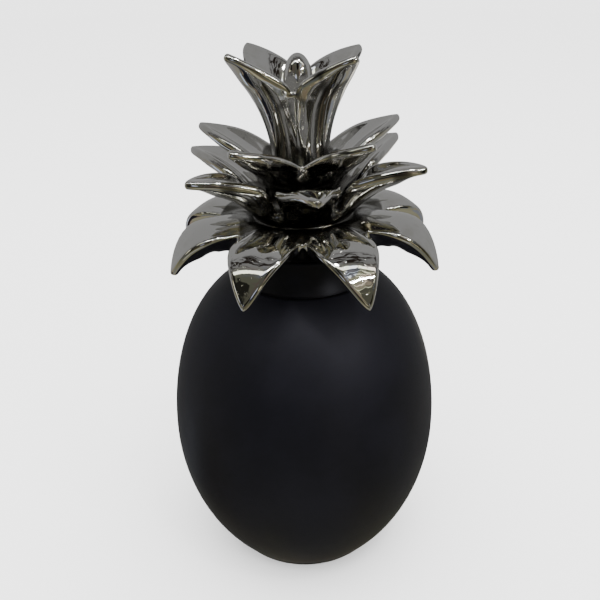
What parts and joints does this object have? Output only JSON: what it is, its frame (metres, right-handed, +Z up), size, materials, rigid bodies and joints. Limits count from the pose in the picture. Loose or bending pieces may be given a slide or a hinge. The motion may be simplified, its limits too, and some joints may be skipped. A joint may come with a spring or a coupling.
{
  "type": "pineapple ornament",
  "caption": "Table ornament shaped like a pineapple: a smooth matte black egg with a short neck, under a mirror-bright crown of leaves.",
  "frame": {"origin": "middle of the flat underside", "axes": "+Z up along the egg's axis, -Y towards the front, +X to the right as seen from the front"},
  "size_m": [0.1572, 0.1572, 0.3012],
  "materials": {
    "body": "matte black glaze with a soft sheen",
    "crown": "bright silver plating over glazed ceramic, slightly wavy"
  },
  "bodies": {
    "root": {"body": "body", "crown": "crown"}
  },
  "joints": []
}
